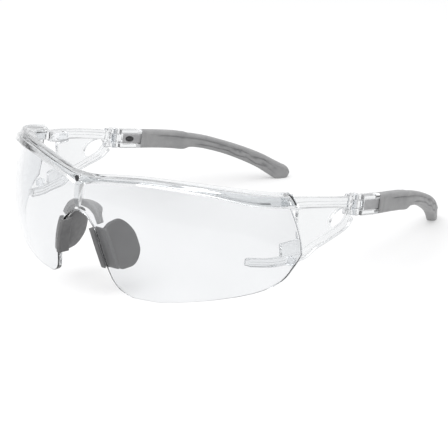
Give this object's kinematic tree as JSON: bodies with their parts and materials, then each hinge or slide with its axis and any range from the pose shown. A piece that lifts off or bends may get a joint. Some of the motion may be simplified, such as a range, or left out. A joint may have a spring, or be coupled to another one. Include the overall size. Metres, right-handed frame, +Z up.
{
  "type": "safety glasses",
  "caption": "Wrap-around safety glasses: a clear curved lens under a clear brow bar, vented side shields, soft nose pads and folding temples with rubber sleeves.",
  "frame": {"origin": "on the table, under the middle of the glasses' box, with the temples open", "axes": "+X to the wearer's left, +Y back towards the ears, +Z up"},
  "size_m": [0.1554, 0.1773, 0.0511],
  "materials": {
    "clear_lens": "clear polycarbonate, polished",
    "clear_frame": "clear polycarbonate, moulded",
    "clear_trim": "clear polycarbonate, moulded small parts",
    "nose_rubber": "soft matt grey",
    "sleeve_rubber": "soft matt grey with wavy grooves",
    "grey_plastic": "satin grey",
    "pin_steel": "turned"
  },
  "bodies": {
    "front": {"lens": "clear_lens", "brow_bar": "clear_frame", "centre_stud": "clear_trim", "nose_saddle": "nose_rubber", "side_shield_left": "clear_frame", "hinge_pin_left": "pin_steel", "corner_clip_left": "clear_trim", "lens_catch_left": "clear_trim", "nose_pad_left": "nose_rubber", "side_shield_right": "clear_frame", "hinge_pin_right": "pin_steel", "corner_clip_right": "clear_trim", "lens_catch_right": "clear_trim", "nose_pad_right": "nose_rubber"},
    "left_temple": {"temple_arm_left": "clear_frame", "temple_core_left": "grey_plastic", "lock_peg_left": "clear_trim", "temple_sleeve_left": "sleeve_rubber"},
    "right_temple": {"temple_arm_right": "clear_frame", "temple_core_right": "grey_plastic", "lock_peg_right": "clear_trim", "temple_sleeve_right": "sleeve_rubber"}
  },
  "joints": [
    {"name": "left_temple_fold", "type": "hinge", "parent": "front", "child": "left_temple", "pos_m": [0.0697, -0.0013, 0.0315], "axis": [0, 0.1822, 0.9833], "range_deg": [0, 90]},
    {"name": "right_temple_fold", "type": "hinge", "parent": "front", "child": "right_temple", "pos_m": [-0.0697, -0.0013, 0.0315], "axis": [0, -0.1822, -0.9833], "range_deg": [0, 78]}
  ]
}
